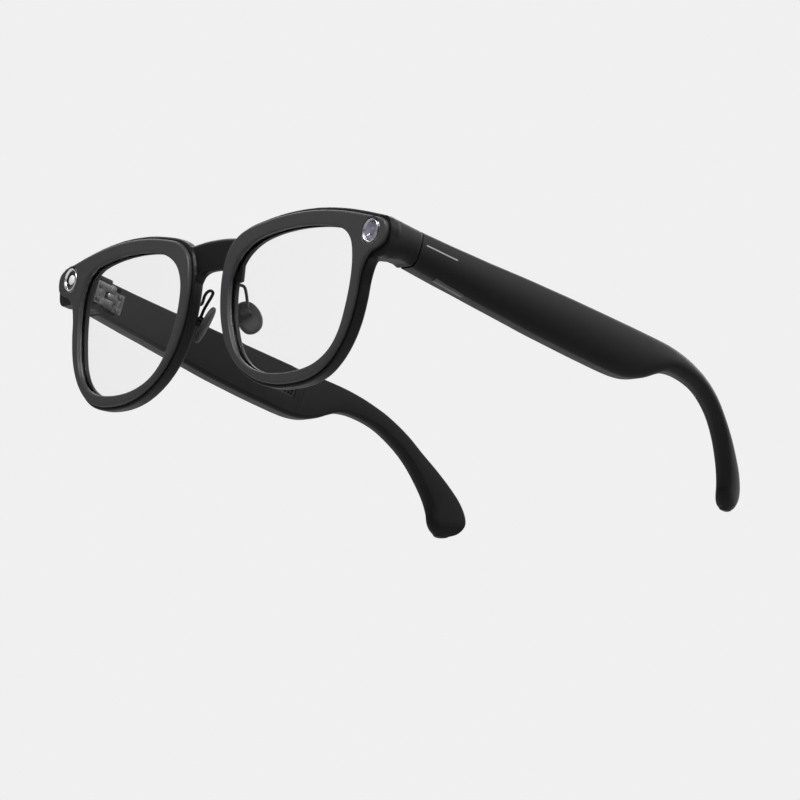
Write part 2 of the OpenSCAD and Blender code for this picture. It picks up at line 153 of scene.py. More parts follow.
# Both faces of a temple seen from above (outward, distance back)
OUTER_X = open_curve([
    (74.5, 14.1), (75.2, 30), (76, 50), (76.5, 68), (76.4, 84), (75.5, 98), (73.4, 112),
    (70.1, 124), (65.6, 135), (61, 145)], 8)
INNER_X = open_curve([
    (56, 145), (60.2, 135), (64.5, 124), (67.8, 112), (69.4, 100), (69.7, 88), (69.6, 76),
    (69.4, 60), (68.8, 44), (68, 28), (67.4, 14.1)], 8)[::-1]
# The inner face again in straight steps (distance back, outward), which the inner cover follows
INNER_LINE = ((14.1, 67.4), (28, 68), (44, 68.8), (60, 69.4), (76, 69.6), (88, 69.7))
# Inner cover: distance back, top and low edge
COVER_SIDE = ((20.4, 4, -4.9), (33, 4.42, -5.5), (50, 5, -6.15), (56, 5.22, -6.3), (80, 6.13, -6.2),
              (84.6, 6.3, -5.4))


def between(y, ys, values):
    """The value at distance y along a row of values, in straight steps."""
    return float(np.interp(y, ys, values))


def outer_x(y):
    return between(y, OUTER_X[:, 1], OUTER_X[:, 0])


def inner_x(y):
    return between(y, INNER_X[:, 1], INNER_X[:, 0])


# ---------------------------------------------------------------- materials
# Inputs and output of a colour mix
MIX_SHARE, MIX_A, MIX_B, MIX_RESULT = 0, 6, 7, 2
EDGE_WEAR = 0.35


def node_material(name):
    m = bpy.data.materials.new(name)
    m.use_nodes = True
    nt = m.node_tree
    return m, nt, nt.nodes["Principled BSDF"]


def object_coord(nt):
    return nt.nodes.new("ShaderNodeTexCoord").outputs["Object"]


def link(nt, a, b):
    nt.links.new(a, b)


def noise(nt, coord, scale, detail=2.0, rough=0.5, distort=0.0):
    n = nt.nodes.new("ShaderNodeTexNoise")
    n.inputs["Scale"].default_value = scale
    n.inputs["Detail"].default_value = detail
    n.inputs["Roughness"].default_value = rough
    n.inputs["Distortion"].default_value = distort
    link(nt, coord, n.inputs["Vector"])
    return n.outputs["Fac"]


def ramp(nt, fac, lo, hi, a, b):
    """Carries the range from lo to hi over to the range from a to b."""
    r = nt.nodes.new("ShaderNodeMapRange")
    r.inputs["From Min"].default_value = lo
    r.inputs["From Max"].default_value = hi
    r.inputs["To Min"].default_value = a
    r.inputs["To Max"].default_value = b
    link(nt, fac, r.inputs["Value"])
    return r.outputs["Result"]


def mix_colour(nt, fac, a, b):
    x = nt.nodes.new("ShaderNodeMix")
    x.data_type = "RGBA"
    x.inputs[MIX_A].default_value = (*a, 1)
    x.inputs[MIX_B].default_value = (*b, 1)
    link(nt, fac, x.inputs[MIX_SHARE])
    return x.outputs[MIX_RESULT]


def math_node(nt, op, a, b):
    n = nt.nodes.new("ShaderNodeMath")
    n.operation = op
    for i, v in enumerate((a, b)):
        if isinstance(v, (int, float)):
            n.inputs[i].default_value = v
        else:
            link(nt, v, n.inputs[i])
    return n.outputs[0]


def bump(nt, height, bsdf, distance, strength=1.0):
    b = nt.nodes.new("ShaderNodeBump")
    b.inputs["Distance"].default_value = distance
    b.inputs["Strength"].default_value = strength
    link(nt, height, b.inputs["Height"])
    link(nt, b.outputs["Normal"], bsdf.inputs["Normal"])


def moulded(name, base, worn, rough, spread, grain_mm=0.16, height_um=9, specular=0.35):
    """Moulded plastic or rubber: fine spark-eroded grain, slow tone changes, a lighter line on edges."""
    m, nt, p = node_material(name)
    co = object_coord(nt)
    fine = noise(nt, co, 1 / (grain_mm * MM), 3.0, 0.6)
    slow = noise(nt, co, 90, 3.0, 0.55, 0.4)
    smear = noise(nt, co, 420, 4.0, 0.6, 0.8)
    geo = nt.nodes.new("ShaderNodeNewGeometry")
    edge = ramp(nt, geo.outputs["Pointiness"], 0.52, 0.6, 0.0, EDGE_WEAR)
    worn_edge = math_node(nt, "MULTIPLY", edge, smear)
    tone = math_node(nt, "ADD", math_node(nt, "MULTIPLY", slow, 0.35), worn_edge)
    link(nt, mix_colour(nt, ramp(nt, tone, 0.08, 0.6, 0, 1), base, worn), p.inputs["Base Color"])
    r = math_node(nt, "ADD", ramp(nt, smear, 0.3, 0.7, rough - spread, rough + spread),
                  ramp(nt, fine, 0.35, 0.65, -0.02, 0.02))
    link(nt, r, p.inputs["Roughness"])
    p.inputs["Specular IOR Level"].default_value = specular
    bump(nt, math_node(nt, "ADD", fine, math_node(nt, "MULTIPLY", smear, 0.4)), p, height_um * MICRON)
    return m


def metal(name, base, dark, rough, spread, brush=(900, 9000, 9000), height_um=2):
    """Brushed or turned metal with fine lines and light tarnish."""
    m, nt, p = node_material(name)
    co = object_coord(nt)
    mp = nt.nodes.new("ShaderNodeMapping")
    mp.inputs["Scale"].default_value = brush
    link(nt, co, mp.inputs["Vector"])
    lines = noise(nt, mp.outputs["Vector"], 1.0, 3.0, 0.65)
    blot = noise(nt, co, 600, 3.0, 0.6, 0.5)
    link(nt, mix_colour(nt, ramp(nt, blot, 0.35, 0.75, 0, 1), base, dark), p.inputs["Base Color"])
    link(nt, ramp(nt, lines, 0.3, 0.7, rough - spread, rough + spread), p.inputs["Roughness"])
    p.inputs["Metallic"].default_value = 1.0
    bump(nt, lines, p, height_um * MICRON)
    return m


def board_material(name):
    """Solder mask over a grid of traces."""
    m, nt, p = node_material(name)
    co = object_coord(nt)
    br = nt.nodes.new("ShaderNodeTexBrick")
    br.inputs["Scale"].default_value = 900
    br.inputs["Mortar Size"].default_value = 0.035
    br.inputs["Color1"].default_value = (0.006, 0.05, 0.02, 1)
    br.inputs["Color2"].default_value = (0.01, 0.075, 0.03, 1)
    br.inputs["Mortar"].default_value = (0.03, 0.17, 0.07, 1)
    link(nt, co, br.inputs["Vector"])
    link(nt, br.outputs["Color"], p.inputs["Base Color"])
    link(nt, ramp(nt, noise(nt, co, 3000), 0.3, 0.7, 0.28, 0.45), p.inputs["Roughness"])
    bump(nt, br.outputs["Fac"], p, 12 * MICRON)
    return m


def lens_material(name):
    """Clear lens with a hard coat that is just uneven enough to break a reflection."""
    m, nt, p = node_material(name)
    co = object_coord(nt)
    p.inputs["Base Color"].default_value = (0.998, 0.999, 1, 1)
    p.inputs["Transmission Weight"].default_value = 1.0
    p.inputs["IOR"].default_value = 1.2
    p.inputs["Specular IOR Level"].default_value = 0.05
    link(nt, ramp(nt, noise(nt, co, 350, 4, 0.6), 0.4, 0.8, 0.0, 0.018), p.inputs["Roughness"])
    bump(nt, noise(nt, co, 60, 1, 0.4), p, 2 * MICRON, 0.3)
    return m


def camera_glass_material(name):
    """Dark coated cover glass with the violet tint of its coating."""
    m, nt, p = node_material(name)
    co = object_coord(nt)
    tint = ramp(nt, noise(nt, co, 500, 2, 0.5, 0.6), 0.35, 0.65, 0, 1)
    link(nt, mix_colour(nt, tint, (0.17, 0.16, 0.215), (0.09, 0.09, 0.11)), p.inputs["Base Color"])
    link(nt, ramp(nt, noise(nt, co, 900, 3), 0.35, 0.7, 0.03, 0.09), p.inputs["Roughness"])
    p.inputs["Coat Weight"].default_value = 0.6
    p.inputs["Coat Roughness"].default_value = 0.04
    p.inputs["Specular IOR Level"].default_value = 0.7
    return m


def diffuser_material(name):
    """Frosted lens of the indicator light."""
    m, nt, p = node_material(name)
    co = object_coord(nt)
    cloud = ramp(nt, noise(nt, co, 700, 3, 0.5, 0.4), 0.35, 0.65, 0, 1)
    link(nt, mix_colour(nt, cloud, (0.86, 0.87, 0.88), (0.95, 0.95, 0.96)), p.inputs["Base Color"])
    link(nt, ramp(nt, noise(nt, co, 5000, 3), 0.35, 0.65, 0.22, 0.36), p.inputs["Roughness"])
    p.inputs["Subsurface Weight"].default_value = 0.3
    p.inputs["Subsurface Scale"].default_value = 0.001
    bump(nt, noise(nt, co, 6000, 2), p, 6 * MICRON)
    return m


# Name, maker, then base colour, second colour, roughness, its spread and the maker's further values
LOOKS = (
    ("frame_black", moulded, (0.002, 0.002, 0.0023), (0.007, 0.007, 0.0077), 0.38, 0.05, 0.16, 9, 0.2),
    ("plate_satin", moulded, (0.03, 0.0298, 0.0318), (0.046, 0.046, 0.0485), 0.42, 0.045, 0.1, 5, 0.34),
    ("pad_rubber", moulded, (0.04, 0.04, 0.042), (0.055, 0.055, 0.057), 0.6, 0.06, 0.2, 8, 0.22),
    ("inner_plastic", moulded, (0.03, 0.03, 0.031), (0.07, 0.07, 0.07), 0.55, 0.06, 0.2, 12),
    ("button_plastic", moulded, (0.03, 0.03, 0.032), (0.09, 0.09, 0.09), 0.3, 0.04, 0.12, 3, 0.5),
    ("box_black", moulded, (0.01, 0.01, 0.011), (0.02, 0.02, 0.02), 0.6, 0.05, 0.1, 3, 0.2),
    ("cup_black", moulded, (0.006, 0.006, 0.007), (0.02, 0.02, 0.02), 0.25, 0.05, 0.1, 2),
    ("dark_metal", metal, (0.03, 0.03, 0.032), (0.018, 0.018, 0.019), 0.38, 0.08),
    ("wire_black", metal, (0.03, 0.03, 0.032), (0.015, 0.015, 0.016), 0.38, 0.08),
    ("bright_metal", metal, (0.95, 0.95, 0.96), (0.8, 0.8, 0.82), 0.22, 0.06),
    ("ring_metal", metal, (0.5, 0.5, 0.52), (0.34, 0.34, 0.36), 0.26, 0.05),
    ("line_metal", metal, (0.3, 0.3, 0.31), (0.22, 0.22, 0.23), 0.4, 0.06),
    ("hinge_metal", metal, (0.125, 0.125, 0.13), (0.07, 0.07, 0.072), 0.36, 0.09, (9000, 9000, 900)),
    ("battery_foil", metal, (0.35, 0.36, 0.38), (0.2, 0.2, 0.21), 0.38, 0.1, (3000, 700, 3000), 8),
    ("contact_gold", metal, (0.84, 0.62, 0.25), (0.55, 0.38, 0.15), 0.24, 0.07),
    ("circuit_green", board_material),
    ("clear_lens", lens_material),
    ("camera_glass", camera_glass_material),
    ("light_diffuser", diffuser_material))
MAT = {name: maker(name, *values) for name, maker, *values in LOOKS}

# ---------------------------------------------------------------- mesh helpers
MERGE = 1e-7
CORNER_STEPS, SIDE_STEPS = 7, 12


def add_object(name, me):
    o = bpy.data.objects.new(name, me)
    scene.collection.objects.link(o)
    return o


def new_object(name, verts, faces, m=None):
    """An object from points and faces, carried by the matrix m, with touching points merged."""
    me = bpy.data.meshes.new(name)
    if m is not None:
        verts = [m @ Vector(v) for v in verts]
    me.from_pydata([tuple(v) for v in verts], [], faces)
    o = add_object(name, me)
    bm = bmesh.new()
    bm.from_mesh(me)
    bmesh.ops.remove_doubles(bm, verts=bm.verts, dist=MERGE)
    bmesh.ops.recalc_face_normals(bm, faces=bm.faces)
    bm.to_mesh(me)
    bm.free()
    return o


def loft(name, rings, m, closed_path=False):
    """Skins a list of rings of equal length, and caps its two ends unless the path is closed."""
    n = len(rings[0])
    verts = [p for r in rings for p in r]
    faces = []
    k = len(rings)
    for i in range(k if closed_path else k - 1):
        j = (i + 1) % k
        for a in range(n):
            b = (a + 1) % n
            faces.append((i * n + a, i * n + b, j * n + b, j * n + a))
    if not closed_path:
        faces.append(tuple(range(n)))
        faces.append(tuple((k - 1) * n + a for a in reversed(range(n))))
    return new_object(name, verts, faces, m)


def evaluate(o):
    """Applies the modifiers of o to its mesh."""
    dg = bpy.context.evaluated_depsgraph_get()
    me = bpy.data.meshes.new_from_object(o.evaluated_get(dg))
    old = o.data
    o.modifiers.clear()
    o.data = me
    if old.users == 0:
        bpy.data.meshes.remove(old)
    return o


def cut(o, cutter, op="DIFFERENCE"):
    mod = o.modifiers.new("cut", "BOOLEAN")
    mod.operation = op
    mod.object = cutter
    mod.solver = "EXACT"
    evaluate(o)
    bpy.data.objects.remove(cutter)
    return o


def join(objs, name):
    bm = bmesh.new()
    for o in objs:
        bm.from_mesh(o.data)
    me = bpy.data.meshes.new(name)
    bm.to_mesh(me)
    bm.free()
    for o in objs:
        bpy.data.objects.remove(o)
    return add_object(name, me)


def remesh(o, voxel_mm, smooth):
    """Melts touching solids into one skin, with soft fillets where they meet."""
    mod = o.modifiers.new("voxel", "REMESH")
    mod.mode = "VOXEL"
    mod.voxel_size = voxel_mm * MM
    mod.use_smooth_shade = True
    s = o.modifiers.new("smooth", "SMOOTH")
    s.factor = 0.5
    s.iterations = smooth
    return evaluate(o)


def bevel(o, width_mm, segments=2, angle=32):
    """Rounds the edges that turn by more than angle, in degrees."""
    mod = o.modifiers.new("bevel", "BEVEL")
    mod.width = width_mm * MM
    mod.segments = segments
    mod.limit_method = "ANGLE"
    mod.angle_limit = rad(angle)
    return evaluate(o)


def smooth_by_angle(o, angle):
    for poly in o.data.polygons:
        poly.use_smooth = True
    o.data.set_sharp_from_angle(angle=rad(angle))


def turn_angles(n):
    """n even steps of one full turn."""
    return np.linspace(0, 2 * math.pi, n, endpoint=False)


def clockwise_circle(x, z, r, n=96):
    return np.array([(x + r * math.cos(-t), z + r * math.sin(-t)) for t in turn_angles(n)])


def round_points(a, b, r, n):
    return [(a + r * math.cos(t), b + r * math.sin(t)) for t in turn_angles(n)]


def lathe(name, profile, x, z, m, n=96):
    """Turns a closed profile of (radius, depth) round the axis of a window in the front."""
    rings = [[(x + r * math.cos(t), d, z + r * math.sin(t)) for r, d in profile] for t in turn_angles(n)]
    return loft(name, rings, m, closed_path=True)


def disc_lathe(name, profile, x, z, m, n=96):
    """Turns an open profile of (radius, depth) that begins and ends on the axis."""
    rings = [[(x + r * math.cos(t), d, z + r * math.sin(t)) for t in turn_angles(n)] for r, d in profile]
    return loft(name, rings, m)


def rounded_section(w, h, r):
    """Points of a rectangle about its centre. The four corner radii r go round from the outer top one to
    the outer low one, and further points follow up the outer side."""
    pts = []
    for i, (sx, sz) in enumerate(((1, 1), (-1, 1), (-1, -1), (1, -1))):
        cx, cz = sx * (w / 2 - r[i]), sz * (h / 2 - r[i])
        for k in range(CORNER_STEPS + 1):
            t = rad(90 * i + 90 * k / CORNER_STEPS)
            pts.append((cx + r[i] * math.cos(t), cz + r[i] * math.sin(t)))
    a, b = pts[-1], pts[0]
    return pts + [(a[0] + (b[0] - a[0]) * k / SIDE_STEPS, a[1] + (b[1] - a[1]) * k / SIDE_STEPS)
                  for k in range(1, SIDE_STEPS)]


def shrunk(pts, share, depth):
    """An outline of the front drawn in to a share of its size, as a ring at one depth."""
    c = pts.mean(0)
    return [(x, depth, z) for x, z in c + share * (pts - c)]


def tube(name, path, r, m, n=20):
    """A round wire along a smooth path of points in mm."""
    p = np.array(path, float)
    rings = []
    t = np.gradient(p, axis=0)
    t /= np.linalg.norm(t, axis=1)[:, None]
    u = np.cross(t[0], (0.3, 0.5, 0.8))
    u /= np.linalg.norm(u)
    for i in range(len(p)):
        u = u - t[i] * u.dot(t[i])
        u /= np.linalg.norm(u)
        v = np.cross(t[i], u)
        rings.append([tuple(p[i] + r * (math.cos(a) * u + math.sin(a) * v)) for a in turn_angles(n)])
    return loft(name, rings, m)


def slab_piece(name, loops, m):
    """A slab in the front with free edge profiles. loops holds (points, sign, profile): sign is 1 for the
    outside and -1 for a hole, and the profile lists (inset, depth) from the front face to the back face."""
    bm = bmesh.new()
    first, last = [], []
    for pts, sign, profile in loops:
        rings = []
        for inset, depth in profile:
            q = grow(pts, -sign * inset)
            rings.append([bm.verts.new(m @ Vector((x, depth, z))) for x, z in q])
        n = len(pts)
        for ra, rb in zip(rings, rings[1:]):
            for i in range(n):
                j = (i + 1) % n
                bm.faces.new((ra[i], ra[j], rb[j], rb[i]))
        for ring, store in ((rings[0], first), (rings[-1], last)):
            store += [bm.edges.get((ring[i], ring[(i + 1) % n])) for i in range(n)]
    for store in (first, last):
        bmesh.ops.triangle_fill(bm, use_beauty=True, use_dissolve=False, edges=store)
    bmesh.ops.recalc_face_normals(bm, faces=bm.faces)
    me = bpy.data.meshes.new(name)
    bm.to_mesh(me)
    bm.free()
    return add_object(name, me)


def edge_profile(a, b, front_r, back_r, support=0.22, steps=5):
    """(inset, depth) of a wall from depth a to b with rounded front and back corners."""
    quarter = np.linspace(0, math.pi / 2, steps + 1)
    p = [(front_r + support, a)]
    p += [(front_r * (1 - math.sin(t)), a + front_r * (1 - math.cos(t))) for t in quarter]
    p += [(back_r * (1 - math.cos(t)), b - back_r * (1 - math.sin(t))) for t in quarter]
    p += [(back_r + support, b)]
    return p


def prism(name, pts, a, b, m, axis="depth"):
    """An outline carried from a to b: along the depth of the front, across the glasses, or upright."""
    put = {"depth": lambda p, d: (p[0], d, p[1]),
           "across": lambda p, d: (d, p[0], p[1]),
           "up": lambda p, d: (p[0], p[1], d)}[axis]
    return loft(name, [[put(p, a) for p in pts], [put(p, b) for p in pts]], m)


def block(name, box, m):
    """A box of (x0, x1, y0, y1, z0, z1)."""
    x0, x1, y0, y1, z0, z1 = box
    return prism(name, [(x0, y0), (x1, y0), (x1, y1), (x0, y1)], z0, z1, m, "up")


def finish_piece(o, body, slot, node, angle=34, mat=None):
    """Shades a piece, gives it its material and tells the frame what it rides on and replaces."""
    smooth_by_angle(o, angle)
    o.data.materials.clear()
    o.data.materials.append(MAT[mat or slot])
    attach(o, body)
    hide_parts(node)


# ---------------------------------------------------------------- front
PLATE_T, PLATE_STEP, RIM_DEPTH = 1.2, 0.9, 4.8
BRIDGE_DEPTH = (2.4, RIM_DEPTH + 0.5)
LENS_LIP, LENS_T, GAP = 0.85, 2.0, 0.05
SPLIT_Y = 13.9
VOXEL, QUICK_VOXEL, SMOOTHING = 0.26, 0.4, 5
# How far the outer wall falls back at the top and bottom of a temple
BELLY = 1.1
# End piece: inner side, corner radii, and its sections (distance back, top, bottom, outer side)
END_INNER_X = 65
END_CORNERS = (1.8, 0.6, 2.6, 1.7)
END_SECTIONS = ((2.0, 4.3, -5.9, 75.0), (4.0, 4.45, -5.9, 75.2), (6.8, 4.6, -5.8, 75.0),
                (8.5, 4.62, -5.3, 74.85), (10.2, 4.65, -4.75, 74.75), (12.2, 4.68, -4.6, 74.65),
                (SPLIT_Y, 4.7, -5.0, 74.6))
# Rooms behind the round windows: radius, depth of the ring's seat, depth for each side
BORE_R, RING_SEAT, CAMERA_DEPTH, LIGHT_DEPTH = 2.95, 2, 7.05, 4.05
HINGE_POCKET = (64, 66.7, 9.4, SPLIT_Y + 1, -3.2, 3.2)
PLATE_ROOM = (60, 80, -3, PLATE_T, -9, 9)
KNUCKLE_ROOM_R, KNUCKLE_ROOM_H = 1.85, 3.8


def belly(x, z, w, h):
    """How far the outer wall of a temple falls back at height z, so that its side is softly rounded."""
    return BELLY * (2 * z / h) ** 2 * min(max(0.5 + x / w, 0), 1) ** 2


def end_block(side):
    rings = []
    for y, top, low, out in END_SECTIONS:
        w, h = out - END_INNER_X, top - low
        rings.append([((out + END_INNER_X) / 2 + x - belly(x, z, w, h), y, (top + low) / 2 + z)
                      for x, z in rounded_section(w, h, END_CORNERS)])
    return loft("end_block", rings, temple_m(side))


def main_frame():
    parts = []
    for side in (1, -1):
        rim = [(RIM, 1, edge_profile(PLATE_T, RIM_DEPTH, front_r=0.3, back_r=1.2)),
               (EYE, -1, edge_profile(PLATE_T, RIM_DEPTH, front_r=0.1, back_r=0.7))]
        parts.append(slab_piece("rim", rim, front_m(side)))
        parts.append(end_block(side))
    bridge_edge = edge_profile(*BRIDGE_DEPTH, front_r=0.9, back_r=1.1, support=0.05)
    parts.append(slab_piece("bridge", [(BRIDGE, 1, bridge_edge)], middle_m()))
    o = remesh(join(parts, "main_frame_body"), VOXEL, SMOOTHING)
    rooms = []
    for side, depth in ((1, CAMERA_DEPTH), (-1, LIGHT_DEPTH)):
        m = front_m(side)
        bore = [(0, -1), (RING_R + GAP, -1), (RING_R + GAP, RING_SEAT), (BORE_R, RING_SEAT),
                (BORE_R, depth), (0, depth)]
        rooms.append(prism("seat", grow(EYE, LENS_LIP + GAP), 0, PLATE_T + LENS_T + 2 * GAP, m))
        rooms.append(disc_lathe("bore", bore, EYE_X, 0, m))
        rooms.append(block("pocket", HINGE_POCKET, temple_m(side)))
    o = cut(o, join(rooms, "cutters"))
    o = cut(o, join([block("front_room", PLATE_ROOM, front_m(s)) for s in (1, -1)], "cutters"))
    knuckle = round_points(PIN_X, PIN_Y, KNUCKLE_ROOM_R, 48)
    reliefs = [prism("relief", knuckle, -KNUCKLE_ROOM_H, KNUCKLE_ROOM_H, temple_m(s), "up") for s in (1, -1)]
    o = cut(o, join(reliefs, "cutters"))
    o.name = "frame_body"
    finish_piece(o, "front", "frame_black", "main_frame", angle=40)


def face_plate(side, word):
    ring = clockwise_circle(EYE_X, 0, RING_R + GAP)
    loops = [
        (grow(RIM, -PLATE_STEP), 1, edge_profile(0, PLATE_T, front_r=0.5, back_r=0.08, support=0.3)),
        (EYE, -1, edge_profile(0, PLATE_T, front_r=0.38, back_r=0.05, support=0.3)),
        (ring, -1, edge_profile(0, PLATE_T, front_r=0.16, back_r=0.05, support=0.12, steps=3))]
    o = slab_piece(word + "_plate", loops, front_m(side))
    finish_piece(o, "front", "plate_satin", word + "_face_plate", angle=50)


LENS_SAG, LENS_BEVEL, LENS_FACE = 0.55, 0.25, 0.99
LENS_STEPS = (0.06, 0.15, 0.3, 0.45, 0.6, 0.75, 0.88, 0.97)


def lens(side, word):
    """A shallow dome of even thickness, with a polished bevel all round."""
    edge = grow(EYE, LENS_LIP)
    a, b = PLATE_T + GAP, PLATE_T + LENS_T + GAP
    face = [shrunk(edge, s, a - LENS_SAG * (1 - s * s)) for s in LENS_STEPS]
    rim = [shrunk(edge, share, depth) for share, depth in (
        (LENS_FACE, a), (1, a + LENS_BEVEL), (1, b - LENS_BEVEL), (LENS_FACE, b))]
    back = [shrunk(edge, s, b - LENS_SAG * (1 - s * s)) for s in reversed(LENS_STEPS)]
    o = loft(word + "_lens_glass", face + rim + back, front_m(side))
    finish_piece(o, "front", "clear_lens", word + "_lens", angle=50)


def dome(r, depth, rise, arc=1.2, steps=9):
    """(radius, depth) of a shallow dome from its crown out to radius r; arc is its half angle in radians."""
    return [(r * math.sin(t) / math.sin(arc), depth + rise * (1 - math.cos(t)) / (1 - math.cos(arc)))
            for t in np.linspace(0, arc, steps)]


# Profiles of the round windows (radius, depth). The trim ring is a narrow raised lip inside a groove.
TRIM_LIP = [(RING_R, 1.95), (RING_R, 0.5), (3.38, 0.42), (3.16, 0.42), (3.1, 0.36), (3.1, 0.0),
            (3.06, -0.08), (3.0, -0.13), (2.92, -0.15), (2.82, -0.1), (2.66, 0.12),
            (GLASS_R + 0.06, 0.3), (GLASS_R + 0.02, 0.38), (GLASS_R + 0.02, 1.95)]
# Stepped dark glass: a domed lens in the middle, a cone with fine rings and a flat rim
CAMERA_STEPS = dome(0.95, 0.34, 0.16) + [
    (0.98, 0.62), (1.1, 0.66), (1.16, 0.6), (1.32, 0.6), (1.38, 0.54), (1.56, 0.53), (1.62, 0.46),
    (1.84, 0.44), (1.9, 0.37), (2.2, 0.3), (2.4, 0.27), (GLASS_R, 0.33), (GLASS_R, 0.9), (2.44, 0.95),
    (0, 0.95)]
# A small frosted dome in the middle of a dark cup
LIGHT_DOME = dome(1.3, 0.05, 0.25) + [(1.36, 0.4), (1.36, 2.35), (1.3, 2.4), (0, 2.4)]
LIGHT_CUP = [(1.38, 2.3), (1.38, 0.75), (1.46, 0.68), (1.8, 0.6), (2.2, 0.42), (2.42, 0.33),
             (GLASS_R, 0.4), (GLASS_R, 2.3)]


def round_windows():
    """Camera in the left end piece and the indicator light in the right one."""
    left, right = front_m(1), front_m(-1)
    o = lathe("camera_trim", TRIM_LIP, EYE_X, 0, left)
    finish_piece(o, "front", "dark_metal", "camera_ring", angle=30, mat="ring_metal")
    o = lathe("light_trim", TRIM_LIP, EYE_X, 0, right)
    finish_piece(o, "front", "bright_metal", "light_ring", angle=30)
    o = disc_lathe("camera_window", CAMERA_STEPS, EYE_X, 0, left)
    finish_piece(o, "front", "camera_glass", "camera_glass", angle=24)
    o = disc_lathe("light_window", LIGHT_DOME, EYE_X, 0, right)
    finish_piece(o, "front", "light_diffuser", "light_lens", angle=30)
    o = lathe("light_cup", LIGHT_CUP, EYE_X, 0, right)
    finish_piece(o, "front", "inner_plastic", "light_lens", angle=30, mat="cup_black")


# ---------------------------------------------------------------- nose pads
ARM_PATH = ((8.4, 3.4, -11.6), (8.4, 5.4, -11.6), (8, 5.9, -9.2), (7.6, 6.6, -8), (7.7, 7.7, -7.7),
            (8.3, 8.4, -8.5), (10.5, 7.8, -12), (11.4, 7.4, -14.6))
WIRE_R = 0.42
PAD_AT, PAD_TURN, PAD_SPLAY = (11.4, 7.3, -15.5), 41, 39
PAD = closed_curve([(-3.3, 0.7), (-2.7, 3.8), (-0.4, 5.4), (2, 4.4), (3.3, 1.4), (3.4, -2), (2.2, -4.7),
                    (-0.2, -5.7), (-2.4, -4.2)], 8)
# Depths of the pad's two faces, how hollow the one towards the nose is, and its size at the middle
PAD_BACK, PAD_FACE, PAD_HOLLOW, PAD_CENTRE = 0.7, 2.7, 0.16, 0.04
PAD_STEPS = 24
PAD_BOX = (-1.1, 1.1, -0.85, 0.45, -1.1, 1.1)
PAD_BOX_SLOT = (-0.55, 0.55, -0.35, 1, -1.3, 1.3)
# The wire ends where this room inside the box begins
WIRE_END = (-1, 1, -0.75, 2, -1, 1)


def pad_m(side):
    """Places a pad: (across, depth, height) from its pin, in mm, to metres in the frame."""
    turn = Matrix.Rotation(rad(-PAD_SPLAY), 4, "Y") @ Matrix.Rotation(rad(PAD_TURN), 4, "Z")
    return front_m(side) @ Matrix.Translation(PAD_AT) @ turn


def nose_pad(side, word):
    """A soft pad with a full round edge and a slightly hollow face towards the nose."""
    mid, half = (PAD_BACK + PAD_FACE) / 2, (PAD_FACE - PAD_BACK) / 2
    rings = []
    for k in range(PAD_STEPS + 1):
        t = math.pi * k / PAD_STEPS
        share = max(abs(math.sin(t)) ** 0.5, PAD_CENTRE)
        depth = mid - half * math.copysign(abs(math.cos(t)) ** 0.75, math.cos(t))
        if t > math.pi / 2:
            depth -= PAD_HOLLOW * (1 - share)
        rings.append(shrunk(PAD, share, depth))
    o = loft(word + "_pad_soft", rings, pad_m(side))
    finish_piece(o, word + "_pad", "pad_rubber", word + "_nose_pad", angle=70)


def pad_arm(side, word):
    """The bent wire and the small box that it holds the pad by."""
    wire = tube(word + "_arm_wire", open_curve(ARM_PATH, 8), WIRE_R, front_m(side))
    m = pad_m(side)
    box = block(word + "_arm_box", PAD_BOX, m)
    box = bevel(cut(box, block("slot", PAD_BOX_SLOT, m)), 0.16, segments=3)
    wire = cut(wire, block("room", WIRE_END, m))
    finish_piece(box, "front", "dark_metal", word + "_pad_arm", angle=40, mat="box_black")
    finish_piece(wire, "front", "dark_metal", word + "_pad_arm", angle=40, mat="wire_black")


# ---------------------------------------------------------------- temples
TEMPLE_STEPS = 5
TEMPLE_CORNERS = (1.8, 0.5, 1.2, 1.7)
# The corners grow by half over this stretch towards the tip
ROUNDER_FROM, ROUNDER_OVER, ROUNDER_BY = 95, 25, 0.5
# Largest corner radius as a share of a section's height and width
MOST_OF_HEIGHT, MOST_OF_WIDTH = 0.4, 0.46
# The tip: sections that narrow, how far they narrow, closing sections and how far those reach
TIP_RINGS, TIP_NARROW, TIP_CLOSING, TIP_REACH = 16, 0.7, 6, 0.7
# Cutters that run through a side of a temple begin or end here
INSIDE_X, OUTSIDE_X = 60, 80
COVER_STEPS, COVER_T, COVER_ROOM = 60, 0.9, 0.95
# Cavity of a temple: top, low and outer wall (distance back, place)
CAVITY_TOP = ((33, 3.8), (83.5, 5.7))
CAVITY_LOW = ((33, -4.9), (56, -5.8), (79, -5.7), (83.5, -5.2))
CAVITY_WALL = ((33, 73.9), (50, 74.7), (68, 75.2), (83.5, 75.1))
CAVITY_INNER_X, CAVITY_STEPS = 68, 24
# Rooms in a temple (x0, x1, y0, y1, z0, z1)
HINGE_GAP = (INSIDE_X, 69.2, 13, 18.5, -3.7, 4.2)
LEAF_SEAT = (INSIDE_X, 68.65, 18, 20.25, -2.85, 2.85)
BUTTON_SLOT = (71.5, 73.5, 21.2, 31.3, -8, -4.4)
BUTTON_ROOM = (71.05, 73.85, 20.7, 31.8, -4.7, -3.6)
SPEAKER_ROOM = (INSIDE_X, OUTSIDE_X, 73, 82, -1.8, 1.8)
CONTACT_RECESS = (INSIDE_X, 68.3, 22.6, 31.4, -1.2, 3.2)
CONTACT_Y, CONTACT_Z, CONTACT_R = (24.5, 27, 29.5), 1, 0.82
# Light line: outline from above (outward, distance back) and heights of its groove and its strip
GROOVE = ((73.9, 15.38), (OUTSIDE_X, 15.38), (OUTSIDE_X, 25.42), (74.3, 25.42))
GROOVE_Z = (1.12, 1.5)
STRIP = ((74.05, 15.4), (OUTSIDE_X, 15.4), (OUTSIDE_X, 25.4), (74.4, 25.4))
STRIP_Z = (1.14, 1.48)
